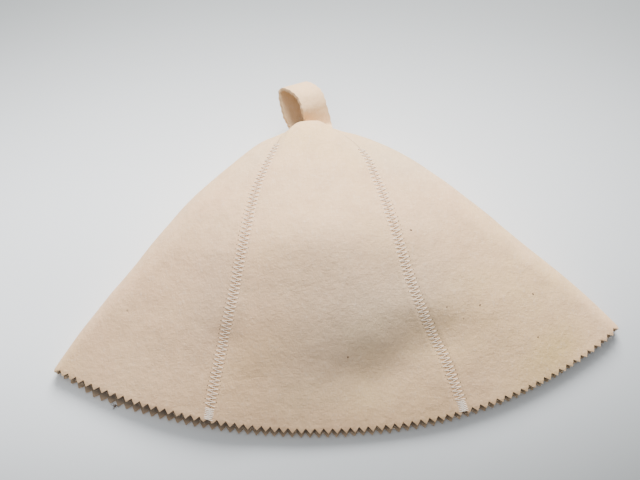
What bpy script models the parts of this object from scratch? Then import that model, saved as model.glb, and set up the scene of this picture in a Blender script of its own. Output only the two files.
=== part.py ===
"""A felt sauna hat that lies on its back: five sewn gores with a pinked hem, and a hanging loop.

Metres, +Z up. The tip points to +Y and the hem to -Y. The back of the hat rests on z = 0,
and the origin is at the bottom centre of the whole hat.

Each piece is first cut flat as a pattern: x is its place round the hat in half teeth of the
pinked hem, and y runs from the tip (0) to the hem (1). The pattern is then laid on the form.
"""
import math
from typing import NamedTuple

import bmesh
import bpy
import numpy as np
from mathutils import Matrix, Vector

MM = 0.001

# Felt, seams and pinking
FELT = 2.5 * MM
GAP = 0.45 * MM
TEETH = 138
TOOTH_DEPTH = 2.7 * MM
SLANT = 215 * MM

# The tip of the hat, measured from the origin
TIP_X = -8.0 * MM
TIP_Y = 86.2 * MM

# The hanging loop: a strip of thinner felt, its ends pushed through the slot in the tip
STRIP = 2.0 * MM
STRIP_WIDTH = 21.0 * MM
STRIP_PITCH = 4.0 * MM
STRIP_TOOTH = 1.2 * MM
LOOP_TWIST = math.radians(34)
LOOP_LEAN = math.radians(15)
LOOP_PITCH = math.radians(20)
TWIST_START = 5.0 * MM
TWIST_LENGTH = 7 * MM
LEAN_LENGTH = 16 * MM

FELT_COLOUR = (0.80, 0.69, 0.57, 1.0)
LOOP_COLOUR = (0.77, 0.65, 0.53, 1.0)

# Half teeth are the ruler round the hem. The hat is folded flat at step 0 and at RIGHT_FOLD
STEPS = 2 * TEETH
RIGHT_FOLD = TEETH


class Section(NamedTuple):
    """The form of the lying hat across one line from side fold to side fold, in mm."""
    along: float    # share of the way from the tip to the hem
    down: float     # distance from the tip to the middle of the line
    half: float     # half the width between the two folds
    shift: float    # how far the middle lies to the right of the tip
    fold: float     # radius of the round side folds
    rise: float     # extra height of the front in the middle
    lift: float     # height of the back above the ground
    sweep: float    # how far the folds lie nearer to the tip than the middle


SECTIONS = [
    Section(0.00, 12.5, 17.0, 4.0, 5.0, 0.0, 16.5, -3.5),
    Section(0.05, 8.2, 19.0, 1.4, 7.2, 3.2, 14.0, -3.3),
    Section(0.12, 12.9, 29.7, 0.7, 11.0, 7.4, 8.5, -0.7),
    Section(0.22, 27.9, 52.1, 3.3, 15.1, 12.3, 3.0, 0.4),
    Section(0.36, 55.4, 75.8, 3.0, 18.3, 15.7, 0.0, 9.8),
    Section(0.50, 91.1, 96.9, 4.0, 17.0, 19.5, 0.0, 25.5),
    Section(0.64, 120.0, 116.8, 5.0, 14.0, 17.0, 0.0, 34.5),
    Section(0.78, 146.5, 138.6, 6.0, 10.0, 13.5, 0.0, 40.0),
    Section(0.90, 171.0, 158.0, 7.0, 6.3, 9.0, 0.0, 44.0),
    Section(1.00, 195.0, 174.0, 8.0, 3.0, 4.5, 0.0, 49.0),
]


class Swell(NamedTuple):
    """A soft bulge or dent of the front: places and spreads are shares of the half width and of the slant."""
    across: float
    along: float
    wide: float
    long: float
    height: float   # mm, negative for a dent


SWELLS = [
    Swell(-0.55, 1.00, 0.28, 0.16, 5.0),
    Swell(0.33, 0.85, 0.26, 0.07, -5.0),
    Swell(-0.33, 0.83, 0.22, 0.07, -3.0),
]

# The hem of the back reaches past the front's: in the middle, and more for each half width to the right
BACK_REACH = 2.3 * MM
BACK_REACH_SLOPE = -4.3 * MM
REACH_FADE = 25 * MM

# The right half of the hem is fuller than a plain curve
HEM_FULLNESS = 12 * MM
FULL_SOFTNESS = 0.2

# How round the front's extra height and the hem's fullness run out at the folds
RISE_POWER = 1.2
FULL_POWER = 0.6


class Seam(NamedTuple):
    """A seam between two gores, from the tip to the hem."""
    step: int       # half teeth from the left fold, over the front
    tip: float      # share of the way round the hat where it starts at the tip
    bow: float      # share of the way round by which it curves aside


SEAMS = [
    Seam(38, 0.153, 0.0),
    Seam(96, 0.345, 0.006),
    Seam(150, 0.540, 0.0),
    Seam(204, 0.739, 0.0),
    Seam(260, 0.937, 0.0),
]
BOW_END = 0.85
GORES = ["gore_front", "gore_right", "gore_back_right", "gore_back_left", "gore_left"]

# Rows of faces from tip to hem, and columns at these steps beside a fold and at every PLAIN_STEP elsewhere
ROWS = [
    0, 0.01, 0.02, 0.032, 0.045, 0.06, 0.075, 0.11, 0.155, 0.21, 0.28, 0.36, 0.44,
    0.52, 0.60, 0.68, 0.76, 0.84, 0.91, 0.96, 1,
]
FOLD_STEPS = [0, 0.5, 1, 1.5, 2, 3, 4, 6, 8, 10, 12, 15, 18, 21, 24]
PLAIN_STEP = 6


class LoopPoint(NamedTuple):
    """A point of the strip's path, from the front leg over the fold to the back leg, in mm."""
    out: float      # distance out of the slot
    apart: float    # distance from the middle between the two legs
    aside: float    # distance to the right


LOOP_PATH = [
    LoopPoint(-13.0, 2.3, 1.5),
    LoopPoint(-6.0, 2.3, 1.5),
    LoopPoint(0.0, 2.4, 1.5),
    LoopPoint(5.5, 2.8, 0.6),
    LoopPoint(9.0, 5.0, 0.0),
    LoopPoint(12.5, 7.3, -0.2),
    LoopPoint(16.0, 8.6, 0.3),
    LoopPoint(21.0, 8.4, 1.0),
    LoopPoint(27.0, 6.4, 1.4),
    LoopPoint(32.0, 2.0, 1.2),
    LoopPoint(35.2, -3.0, 1.2),
    LoopPoint(35.8, -5.6, 1.2),
    LoopPoint(34.8, -7.6, 1.0),
    LoopPoint(30.0, -8.8, 0.6),
    LoopPoint(23.0, -9.0, 0.2),
    LoopPoint(17.0, -8.0, -0.4),
    LoopPoint(12.5, -6.2, -1.6),
    LoopPoint(9.0, -4.4, -2.6),
    LoopPoint(5.5, -2.8, -3.0),
    LoopPoint(0.0, -2.4, -2.6),
    LoopPoint(-6.0, -2.3, -2.0),
    LoopPoint(-13.0, -2.3, -1.5),
]

# Fineness of the curves that the pieces are read from, and of the steps that give their normals
RING_SAMPLES = 721
PATH_SAMPLES = 401
SHARE_STEP = 0.0006
ALONG_STEP = 0.004

FELT_ROUGHNESS = 0.95
SHARP_ANGLE = math.radians(40)
LOOP_COLUMNS = 5


def spline(x, xs, ys):
    """A smooth curve through the points (xs, ys), read at x."""
    gaps = np.diff(xs)
    slopes = np.diff(ys) / gaps
    inner = (gaps[1:] * slopes[:-1] + gaps[:-1] * slopes[1:]) / (gaps[1:] + gaps[:-1])
    first = slopes[0] + 0.5 * (slopes[0] - inner[0])
    last = slopes[-1] + 0.5 * (slopes[-1] - inner[-1])
    tangents = np.concatenate([[first], inner, [last]])
    i = np.clip(np.searchsorted(xs, x) - 1, 0, len(gaps) - 1)
    t = (x - xs[i]) / gaps[i]
    rise = ys[i] * (2 * t**3 - 3 * t**2 + 1) + ys[i + 1] * (3 * t**2 - 2 * t**3)
    return rise + gaps[i] * (tangents[i] * (t**3 - 2 * t**2 + t) + tangents[i + 1] * (t**3 - t**2))


def smooth_step(x):
    x = np.clip(x, 0.0, 1.0)
    return x * x * (3 - 2 * x)


def section_at(along):
    """The section at any height between the listed ones, in metres."""
    places = np.array([s.along for s in SECTIONS])
    values = [spline(along, places, np.array(column) * MM) for column in list(zip(*SECTIONS))[1:]]
    section = Section(along, *values)
    return section._replace(lift=max(section.lift, 0.0))


def swell_height(across, along):
    """Height that the bulges and dents add to the front."""
    total = np.zeros_like(across)
    for s in SWELLS:
        total += s.height * MM * np.exp(-((across - s.across) / s.wide)**2 - ((along - s.along) / s.long)**2)
    return total


def form_ring(along):
    """Points in the middle of the felt, from the left fold over the front, and back under the hat."""
    s = section_at(along)
    x = -s.half * np.cos(np.linspace(0, math.pi, RING_SAMPLES))
    inward = s.half - np.abs(x)
    arc = np.sqrt(s.fold**2 - (s.fold - np.minimum(inward, s.fold))**2)
    across = x / s.half
    crown = np.clip(1 - across**2, 0.0, 1.0)
    middle = s.lift + FELT / 2 + s.fold
    swell = swell_height(across, along) * np.sqrt(crown) * np.minimum(inward / (2 * s.fold), 1.0)
    front_z = middle + arc + s.rise * crown**RISE_POWER + swell
    rightward = (across + np.sqrt(across**2 + FULL_SOFTNESS**2)) / 2
    fullness = HEM_FULLNESS * rightward * crown**FULL_POWER * along**3
    y = TIP_Y - s.down + s.sweep * across**2 - fullness
    reach = (BACK_REACH + BACK_REACH_SLOPE * across) * np.minimum(inward / REACH_FADE, 1.0) * along**3
    front = np.column_stack([TIP_X + s.shift + x, y, front_z])
    back = np.column_stack([TIP_X + s.shift + x, y - reach, middle - arc])
    return front, back[::-1]


class Ring:
    """One ring of the form that can be read by the share of the way round."""

    def __init__(self, along):
        self.sides = []
        for points in form_ring(along):
            lengths = np.linalg.norm(np.diff(points, axis=0), axis=1)
            self.sides.append((points, np.concatenate([[0.0], np.cumsum(lengths)])))
        self.length = sum(lengths[-1] for points, lengths in self.sides)

    def point(self, share):
        half, within = divmod((share % 1.0) * 2, 1.0)
        points, lengths = self.sides[int(half)]
        return np.array([np.interp(within * lengths[-1], lengths, points[:, axis]) for axis in range(3)])


RINGS = {}


def ring_at(along):
    key = round(along, 6)
    if key not in RINGS:
        RINGS[key] = Ring(key)
    return RINGS[key]


def share_at(step, along):
    """Share of the way round the hat at a step of the pattern: the seams lead it from tip to hem."""
    places = [0, SEAMS[0].step, SEAMS[1].step, RIGHT_FOLD]
    wave = math.sin(2 * math.pi * min(along / BOW_END, 1.0))
    shares = [seam.tip + (seam.step / STEPS - seam.tip) * along + seam.bow * wave for seam in SEAMS]
    places += [seam.step for seam in SEAMS[2:]] + [STEPS, STEPS + SEAMS[0].step]
    knots = [0, shares[0], shares[1], 0.5, *shares[2:], 1.0, 1 + shares[0]]
    return float(np.interp(step, places, knots))


def felt_point(step, along, side, clearance):
    """A point of the felt's skin: side is 1 outside the hat and -1 inside it."""
    share = share_at(step, along) + clearance / ring_at(along).length
    low, high = max(along - ALONG_STEP, 0.0), min(along + ALONG_STEP, 1.0)
    round_way = ring_at(along).point(share + SHARE_STEP) - ring_at(along).point(share - SHARE_STEP)
    hem_way = ring_at(high).point(share) - ring_at(low).point(share)
    outward = np.cross(hem_way, round_way)
    return ring_at(along).point(share) + outward * (side * FELT / 2 / np.linalg.norm(outward))


def felt_material(name, colour):
    material = bpy.data.materials.new(name)
    material.use_nodes = True
    shader = material.node_tree.nodes["Principled BSDF"]
    shader.inputs["Base Color"].default_value = colour
    shader.inputs["Roughness"].default_value = FELT_ROUGHNESS
    shader.inputs["Metallic"].default_value = 0.0
    material.diffuse_color = colour
    return material


def finish_piece(name, bm, material):
    """Turns the faces outwards and makes the bmesh a smooth shaded object."""
    bmesh.ops.recalc_face_normals(bm, faces=bm.faces)
    mesh = bpy.data.meshes.new(name)
    bm.to_mesh(mesh)
    bm.free()
    mesh.shade_smooth()
    mesh.set_sharp_from_angle(angle=SHARP_ANGLE)
    mesh.materials.append(material)
    piece = bpy.data.objects.new(name, mesh)
    bpy.context.scene.collection.objects.link(piece)
    return piece


def grid_pattern(xs, ys):
    """A flat grid with its columns at xs and its rows at ys."""
    bm = bmesh.new()
    bmesh.ops.create_grid(bm, x_segments=len(xs) - 1, y_segments=len(ys) - 1, size=1.0)
    for vert in bm.verts:
        column = round((vert.co.x + 1) / 2 * (len(xs) - 1))
        row = round((vert.co.y + 1) / 2 * (len(ys) - 1))
        vert.co = (xs[column], ys[row], 0.0)
    return bm


def second_skin(bm):
    """Gives a flat pattern its other side and its rim: z is 1 on the outer skin and -1 on the inner one."""
    doubled = bmesh.ops.extrude_face_region(bm, geom=bm.faces[:], use_keep_orig=True)
    for vert in bm.verts:
        vert.co.z = 1.0
    for vert in doubled["geom"]:
        if isinstance(vert, bmesh.types.BMVert):
            vert.co.z = -1.0


def gore_columns(first, last):
    """Steps of a gore's columns of faces, closer together round a side fold."""
    folds = (0, RIGHT_FOLD, STEPS)
    places = {fold + side * step for fold in folds for step in FOLD_STEPS for side in (-1, 1)}
    for step in range(0, STEPS + RIGHT_FOLD, PLAIN_STEP):
        if min(abs(step - fold) for fold in folds) > FOLD_STEPS[-1]:
            places.add(step)
    inside = [place for place in places if first + 1 <= place <= last - 1]
    return sorted(inside + [first, last])


def pink_hem(bm):
    """Cuts the hem edge of a pattern into teeth: a valley at each even step and a point at each odd one."""
    for edge in [e for e in bm.edges if all(v.co.y == 1.0 for v in e.verts)]:
        start, end = sorted(edge.verts, key=lambda v: v.co.x)
        stop = end.co.x
        for step in range(math.floor(start.co.x) + 1, math.ceil(stop)):
            share = (step - start.co.x) / (stop - start.co.x)
            edge, start = bmesh.utils.edge_split(edge, start, share)
            start.co = (step, 1.0, 0.0)
            edge = next(e for e in start.link_edges if end in e.verts)
    for vert in bm.verts:
        if vert.co.y == 1.0:
            from_point = abs(vert.co.x % 2 - 1)
            vert.co.y = 1.0 - from_point * TOOTH_DEPTH / SLANT


def make_gore(name, first, last, material):
    """One felt gore between two seams, laid on the form."""
    bm = grid_pattern(gore_columns(first, last), ROWS)
    pink_hem(bm)
    second_skin(bm)
    for vert in bm.verts:
        step, along, side = vert.co
        clearance = GAP / 2 * ((step == first) - (step == last))
        vert.co = Vector(felt_point(step, along, side, clearance))
    return finish_piece(name, bm, material)


def loop_path():
    """The strip's path, read by its length, from the front leg's end to the back leg's."""
    drawn = np.array(LOOP_PATH) * MM
    knots = np.arange(len(drawn), dtype=float)
    places = np.linspace(0, knots[-1], PATH_SAMPLES)
    points = np.column_stack([spline(places, knots, drawn[:, axis]) for axis in range(3)])
    lengths = np.concatenate([[0.0], np.cumsum(np.linalg.norm(np.diff(points, axis=0), axis=1))])
    return points, lengths


def loop_point(out, apart, aside, across):
    """A point of the strip's middle layer: past the slot it turns on itself, rises and leans to the left."""
    slot = section_at(0.0)
    base = Vector((TIP_X + slot.shift, TIP_Y - slot.down, slot.lift + FELT / 2 + slot.fold))
    turn = LOOP_TWIST * smooth_step((out - TWIST_START) / TWIST_LENGTH)
    share = smooth_step((out - TWIST_START) / LEAN_LENGTH)
    twist = Matrix.Rotation(turn, 3, "Y")
    pitch = Matrix.Rotation(LOOP_PITCH * share, 3, "X")
    lean = Matrix.Rotation(LOOP_LEAN * share, 3, "Z")
    return base + lean @ pitch @ (twist @ Vector((across, 0.0, apart)) + Vector((aside, out, 0.0)))


def make_loop(name, material):
    """The hanging loop: a pinked strip bent over, with both ends inside the tip."""
    points, lengths = loop_path()
    halves = 2 * round(lengths[-1] / STRIP_PITCH)
    rows = np.linspace(0, lengths[-1], halves + 1)
    columns = np.linspace(-STRIP_WIDTH / 2, STRIP_WIDTH / 2, LOOP_COLUMNS)
    bm = grid_pattern(columns, range(halves + 1))
    for vert in bm.verts:
        if abs(abs(vert.co.x) - STRIP_WIDTH / 2) < MM / 10 and round(vert.co.y) % 2 == 0:
            vert.co.x -= math.copysign(STRIP_TOOTH, vert.co.x)
    second_skin(bm)

    def on_path(length, across):
        out, apart, aside = (np.interp(length, lengths, points[:, axis]) for axis in range(3))
        return loop_point(out, apart, aside, across)

    step = lengths[-1] / PATH_SAMPLES
    for vert in bm.verts:
        across, row, side = vert.co
        length = rows[round(row)]
        ahead = on_path(min(length + step, lengths[-1]), across) - on_path(max(length - step, 0.0), across)
        sideways = on_path(length, across + MM) - on_path(length, across - MM)
        outward = sideways.cross(ahead).normalized()
        vert.co = on_path(length, across) + outward * (side * STRIP / 2)
    return finish_piece(name, bm, material)


def main():
    for old in list(bpy.data.objects):
        bpy.data.objects.remove(old)
    felt = felt_material("cream_felt", FELT_COLOUR)
    for gore, seam, following in zip(GORES, SEAMS, SEAMS[1:] + SEAMS[:1]):
        last = following.step + (STEPS if following.step < seam.step else 0)
        make_gore(gore, seam.step, last, felt)
    make_loop("hanging_loop", felt_material("cream_strip", LOOP_COLOUR))


main()
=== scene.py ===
# %% [markdown]
# # A felt sauna hat, lying on its back
#
# This lesson dresses a plain model of a sauna hat. The hat is five gores of thick wool felt,
# cut with pinking shears at the hem, joined edge to edge by a wide zigzag, with a felt loop
# in the tip. The plain model is loaded first and fixes every size. Nothing here may move it.

# %% Load the plain model and keep its box
import math
from typing import NamedTuple

import bmesh
import bpy
import numpy as np
from mathutils import Matrix, Vector, noise
from mathutils.bvhtree import BVHTree


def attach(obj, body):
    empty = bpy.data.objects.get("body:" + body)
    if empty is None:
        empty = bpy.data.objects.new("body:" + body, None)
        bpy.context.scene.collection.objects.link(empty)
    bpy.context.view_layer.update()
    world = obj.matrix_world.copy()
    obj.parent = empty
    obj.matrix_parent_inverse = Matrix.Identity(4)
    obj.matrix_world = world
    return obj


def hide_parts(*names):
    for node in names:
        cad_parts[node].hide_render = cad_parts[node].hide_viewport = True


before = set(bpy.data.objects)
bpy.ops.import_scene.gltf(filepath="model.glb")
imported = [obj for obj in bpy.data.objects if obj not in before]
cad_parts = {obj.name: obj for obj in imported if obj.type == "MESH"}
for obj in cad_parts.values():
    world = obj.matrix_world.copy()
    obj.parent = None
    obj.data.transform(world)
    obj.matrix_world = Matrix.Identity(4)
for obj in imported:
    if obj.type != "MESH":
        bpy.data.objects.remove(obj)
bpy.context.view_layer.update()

MM = 0.001
print("nodes:", sorted(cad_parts))

# %% [markdown]
# ## Camera
#
# The photographer stood over a table and looked steeply down. The rows of pinked teeth look
# equally wide on both sides of the hem, so the lens was not a wide one. A 56 mm lens at
# 0.64 m gives that view. The camera is placed by the point that it looks at, a distance and
# two angles, which is easier to adjust than its own place and rotation.

# %% Camera at the photograph's angle
PHOTO_SIZE = (640, 480)
LENS_PIXELS = 1000
SENSOR = 36
AZIMUTH, ELEVATION = math.radians(-4.5), math.radians(74)
DISTANCE = 0.64
LOOK_AT = Vector((-5.3, 13.5, 0.0)) * MM

away = Vector((
    math.sin(AZIMUTH) * math.cos(ELEVATION),
    -math.cos(AZIMUTH) * math.cos(ELEVATION),
    math.sin(ELEVATION),
))
camera_data = bpy.data.cameras.new("photo_camera")
camera_data.sensor_width = SENSOR
camera_data.lens = LENS_PIXELS / PHOTO_SIZE[0] * SENSOR
camera = bpy.data.objects.new("photo_camera", camera_data)
camera.location = LOOK_AT + away * DISTANCE
camera.rotation_euler = away.to_track_quat("Z", "Y").to_euler()
bpy.context.scene.collection.objects.link(camera)
bpy.context.scene.camera = camera
print("lens:", round(camera_data.lens, 2), "mm")

# %% [markdown]
# ## Table top and light
#
# The hat lies on a plain white surface in bright, soft daylight from beyond its tip. One
# round area lamp stands on that side like a window, a very large weak one hangs over the
# table, and a pale sky fills the rest. That gives the same narrow soft shadow under the
# hem. The floor is one flat face, larger than any view of the hat.

# %% Floor
FLOOR_SIZE = 3.0
FLOOR_DROP = 0.2 * MM


def link(name, mesh):
    """Puts a mesh in the scene as an object at the origin."""
    piece = bpy.data.objects.new(name, mesh)
    bpy.context.scene.collection.objects.link(piece)
    return piece


floor_shape = bmesh.new()
bmesh.ops.create_grid(floor_shape, x_segments=1, y_segments=1, size=FLOOR_SIZE)
floor_mesh = bpy.data.meshes.new("floor")
floor_shape.to_mesh(floor_mesh)
floor_shape.free()
floor = link("floor", floor_mesh)
floor.location.z = -FLOOR_DROP

# %% Lamps and sky
SKY_COLOUR = (0.97, 0.98, 1.0, 1.0)
SKY_STRENGTH = 0.24


class Lamp(NamedTuple):
    name: str
    place: tuple      # metres, from the middle of the hat
    size: float       # metres across
    watts: float
    colour: tuple


DAYLIGHT = (1.0, 0.985, 0.97)
LAMPS = [
    Lamp("window", (0.09, 0.61, 0.52), 0.50, 21.0, DAYLIGHT),
    Lamp("ceiling", (-0.1, 0.15, 1.2), 1.5, 11.0, DAYLIGHT),
]

for lamp in LAMPS:
    data = bpy.data.lights.new(lamp.name, "AREA")
    data.shape = "DISK"
    data.size = lamp.size
    data.energy = lamp.watts
    data.color = lamp.colour
    light = bpy.data.objects.new(lamp.name, data)
    light.location = lamp.place
    light.rotation_euler = Vector(lamp.place).to_track_quat("Z", "Y").to_euler()
    bpy.context.scene.collection.objects.link(light)

world = bpy.data.worlds.new("soft_sky")
world.use_nodes = True
sky = world.node_tree.nodes["Background"].inputs
sky["Color"].default_value = SKY_COLOUR
sky["Strength"].default_value = SKY_STRENGTH
bpy.context.scene.world = world

# %% [markdown]
# ## A small helper for shader maths
#
# Shader nodes can be joined by hand, but a formula reads better as a formula. The class
# below wraps one output socket, so that `mask * 0.5 + noise` adds the Math nodes by itself.
# A second class holds a material, with one method that makes every other kind of node and a
# few short ones for the groups of nodes that come back in each finish.

# %% Socket class


class Socket:
    """An output socket that can be used in Python expressions."""

    def __init__(self, tree, socket):
        self.tree = tree
        self.socket = socket

    def _math(self, operation, first, second):
        node = self.tree.nodes.new("ShaderNodeMath")
        node.operation = operation
        for slot, value in zip(node.inputs, (first, second)):
            if isinstance(value, Socket):
                self.tree.links.new(value.socket, slot)
            else:
                slot.default_value = value
        return Socket(self.tree, node.outputs[0])

    def __add__(self, other):
        return self._math("ADD", self, other)

    def __sub__(self, other):
        return self._math("SUBTRACT", self, other)

    def __mul__(self, other):
        return self._math("MULTIPLY", self, other)

    def __gt__(self, other):
        return self._math("GREATER_THAN", self, other)


# %% Material class
# numbers of the sockets that a Mix node uses for colours
MIX_FACTOR, MIX_FIRST, MIX_SECOND, MIX_RESULT = 0, 6, 7, 2


class Finish:
    """A material with one Principled shader, and the nodes that feed it."""

    def __init__(self, name):
        self.material = bpy.data.materials.new(name)
        self.material.use_nodes = True
        self.tree = self.material.node_tree
        self.shader = self.tree.nodes["Principled BSDF"]

    def node(self, kind, settings=None, output=0, **values):
        """Adds a node: its settings first, then a value or a link for each named input."""
        node = self.tree.nodes.new("ShaderNode" + kind)
        for name, value in (settings or {}).items():
            setattr(node, name, value)
        for name, value in values.items():
            self.feed(node.inputs[name.replace("_", " ")], value)
        return Socket(self.tree, node.outputs[output])

    def feed(self, slot, value):
        """Links a socket to an input, or sets the input's own value."""
        if isinstance(value, Socket):
            self.tree.links.new(value.socket, slot)
        else:
            slot.default_value = value

    def set(self, **values):
        """Feeds the shader's own inputs."""
        for name, value in values.items():
            self.feed(self.shader.inputs[name.replace("_", " ")], value)

    def mix(self, factor, first, second):
        """Blends two colours."""
        node = self.tree.nodes.new("ShaderNodeMix")
        node.data_type = "RGBA"
        self.feed(node.inputs[MIX_FACTOR], factor)
        self.feed(node.inputs[MIX_FIRST], first)
        self.feed(node.inputs[MIX_SECOND], second)
        return Socket(self.tree, node.outputs[MIX_RESULT])

    def place(self):
        """The place on the object, in metres."""
        return self.node("TexCoord", output="Object")

    def ramp(self, value, limits):
        """0 to 1, straight, as a value goes from the first limit to the second."""
        return self.node("MapRange", Value=value, From_Min=limits[0], From_Max=limits[1])

    def falloff(self, place, limits, **mapping):
        """0 to 1, smoothly, by the distance from the middle of a moved and stretched place."""
        own = self.node("Mapping", {"vector_type": "TEXTURE"}, Vector=place, **mapping)
        far = self.node("VectorMath", {"operation": "LENGTH"}, output="Value", Vector=own)
        smooth = {"interpolation_type": "SMOOTHSTEP"}
        return self.node("MapRange", smooth, Value=far, From_Min=limits[0], From_Max=limits[1])


# %% [markdown]
# ## Floor finish
#
# The surface is a plain bluish white. Its colour carries painted light and shade: it is
# painted brightest to the left of the hat and darker and greyer towards the edges of the view,
# as a smooth blend by the distance from that bright place, with only the faintest unevenness on top.

# %% Floor material
# painted light and shade on the floor: bright near a place left of the hat, darker far from it
FLOOR_PAINTED_LIGHT = (0.84, 0.885, 0.925, 1.0)
FLOOR_PAINTED_SHADE = (0.205, 0.220, 0.225, 1.0)
PAINTED_LIGHT_MIDDLE = Vector((-120.0, 0.0, 0.0)) * MM
PAINTED_LIGHT_SPREAD = (2.6, 1.0, 1.0)
PAINTED_LIGHT_TO_SHADE = (30 * MM, 230 * MM)
UNEVENNESS = 0.1

paper = Finish("pale_floor")
place = paper.place()
cloud = paper.node("TexNoise", Vector=place, Scale=2.0, Detail=2.0)
# painted shade: 0 at the bright place, rising smoothly to 1 far from it
shade = paper.falloff(place, PAINTED_LIGHT_TO_SHADE, Location=PAINTED_LIGHT_MIDDLE, Scale=PAINTED_LIGHT_SPREAD)
shade = shade + (cloud - 0.5) * UNEVENNESS
paper.set(Base_Color=paper.mix(shade, FLOOR_PAINTED_LIGHT, FLOOR_PAINTED_SHADE), Roughness=0.85)
floor.data.materials.append(paper.material)

# %% [markdown]
# ## The form of the lying hat
#
# A felt hat has no hard frame: its shape is the way that the cloth lies. From side fold to
# side fold each line across the hat is a flat loop, high in the middle of the crown and
# nearly flat at the hem. A short table gives those lines, and a smooth curve joins the rows,
# as an armature of wire loops would carry clay. The plain model was shaped by almost the
# same table. Here the front hem lies a few millimetres lower on the back one, and the
# dents are drawn a little deeper, because that is what the shadows in the photograph show.

# %% Sections from tip to hem
FELT = 2.5 * MM
TEETH = 138
STEPS = 2 * TEETH
TOOTH_DEPTH = 2.7 * MM
SLANT = 215 * MM
TIP = Vector((-8.0, 86.2, 0.0)) * MM


class Section(NamedTuple):
    along: float      # share of the way from tip to hem
    down: float       # the rest is in millimetres
    half: float
    shift: float
    fold: float
    rise: float
    lift: float
    sweep: float


SECTIONS = [
    Section(0.00, 12.5, 17.0, 4.0, 5.0, 0.0, 16.5, -3.5),
    Section(0.05, 8.2, 19.0, 1.4, 7.2, 3.2, 14.0, -3.3),
    Section(0.12, 12.9, 29.7, 0.7, 11.0, 7.4, 8.5, -0.7),
    Section(0.22, 27.9, 52.1, 3.3, 15.1, 12.3, 3.0, 0.4),
    Section(0.36, 55.4, 75.8, 3.0, 18.3, 15.7, 0.0, 9.8),
    Section(0.50, 91.1, 96.9, 4.0, 17.0, 19.5, 0.0, 25.5),
    Section(0.64, 120.0, 116.8, 5.0, 14.0, 17.0, 0.0, 34.5),
    Section(0.78, 146.5, 138.6, 6.0, 10.0, 13.5, 0.0, 40.0),
    Section(0.90, 170.4, 158.0, 7.0, 6.3, 5.6, 0.0, 44.0),
    Section(1.00, 194.2, 174.0, 8.0, 3.0, -1.2, 0.0, 49.0),
]


class Swell(NamedTuple):
    across: float     # places and spreads are shares of the half width and of the slant
    along: float
    wide: float
    long: float
    height: float     # millimetres, negative for a dent


SWELLS = [
    Swell(-0.55, 1.00, 0.28, 0.16, 5.0),
    Swell(-0.05, 0.47, 0.45, 0.07, 2.4),
    Swell(0.38, 0.80, 0.17, 0.062, -4.7),
    Swell(0.16, 0.86, 0.18, 0.062, -4.3),
    Swell(-0.15, 0.80, 0.50, 0.100, -1.6),
    Swell(-0.47, 0.79, 0.07, 0.050, -2.0),
]

BACK_REACH, BACK_REACH_SLOPE, REACH_FADE = 2.4 * MM, -3.4 * MM, 25 * MM
HEM_FULLNESS, FULL_SOFTNESS = 12 * MM, 0.2
RISE_POWER, FULL_POWER = 1.2, 0.6
RING_SAMPLES = 721


def spline(x, xs, ys):
    """A smooth curve through the points (xs, ys), read at x."""
    gaps = np.diff(xs)
    slopes = np.diff(ys) / gaps
    inner = (gaps[1:] * slopes[:-1] + gaps[:-1] * slopes[1:]) / (gaps[1:] + gaps[:-1])
    first = slopes[0] + 0.5 * (slopes[0] - inner[0])
    last = slopes[-1] + 0.5 * (slopes[-1] - inner[-1])
    tangents = np.concatenate([[first], inner, [last]])
    i = np.clip(np.searchsorted(xs, x) - 1, 0, len(gaps) - 1)
    t = (x - xs[i]) / gaps[i]
    rise = ys[i] * (2 * t**3 - 3 * t**2 + 1) + ys[i + 1] * (3 * t**2 - 2 * t**3)
    return rise + gaps[i] * (tangents[i] * (t**3 - 2 * t**2 + t) + tangents[i + 1] * (t**3 - t**2))


def section_at(along):
    places = np.array([s.along for s in SECTIONS])
    values = [spline(along, places, np.array(column) * MM) for column in list(zip(*SECTIONS))[1:]]
    section = Section(along, *values)
    return section._replace(lift=max(section.lift, 0.0))


def form_ring(along):
    """Points in the middle of the felt round the hat: front from left to right, then back."""
    s = section_at(along)
    x = -s.half * np.cos(np.linspace(0, math.pi, RING_SAMPLES))
    inward = s.half - np.abs(x)
    arc = np.sqrt(s.fold**2 - (s.fold - np.minimum(inward, s.fold))**2)
    across = x / s.half
    crown = np.clip(1 - across**2, 0.0, 1.0)
    swell = np.zeros_like(across)
    for w in SWELLS:
        spread = ((across - w.across) / w.wide)**2 + ((along - w.along) / w.long)**2
        swell += w.height * MM * np.exp(-spread)
    swell *= np.sqrt(crown) * np.minimum(inward / (2 * s.fold), 1.0)
    middle = s.lift + FELT / 2 + s.fold
    rightward = (across + np.sqrt(across**2 + FULL_SOFTNESS**2)) / 2
    fullness = HEM_FULLNESS * rightward * crown**FULL_POWER * along**3
    y = TIP.y - s.down + s.sweep * across**2 - fullness
    reach = BACK_REACH + BACK_REACH_SLOPE * across * np.abs(across)
    reach = reach * np.minimum(inward / REACH_FADE, 1.0) * along**3
    front = np.column_stack([TIP.x + s.shift + x, y, middle + arc + s.rise * crown**RISE_POWER + swell])
    back = np.column_stack([TIP.x + s.shift + x, y - reach, middle - arc])
    return front, back[::-1]


print("slot in the tip:", round(2 * section_at(0.0).half / MM, 1), "mm wide")

# %% [markdown]
# ## A map from the cut pattern to the lying hat
#
# Everything on the hat is easier to place on the flat pattern than in space: a stitch lies
# so many millimetres beside a seam, and a tooth is one step of the hem. So the form is
# sampled once as a fine net, with the way that points out of the cloth at each knot, and a
# function reads that net for any place on the pattern.

# %% The net of the form
NET_ROWS, NET_COLUMNS = 301, 2880
net_alongs = np.linspace(0, 1, NET_ROWS)


def lengths_along(points):
    """How far each point of a line is from its first one, measured along the line."""
    return np.concatenate([[0.0], np.cumsum(np.linalg.norm(np.diff(points, axis=0), axis=1))])


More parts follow.
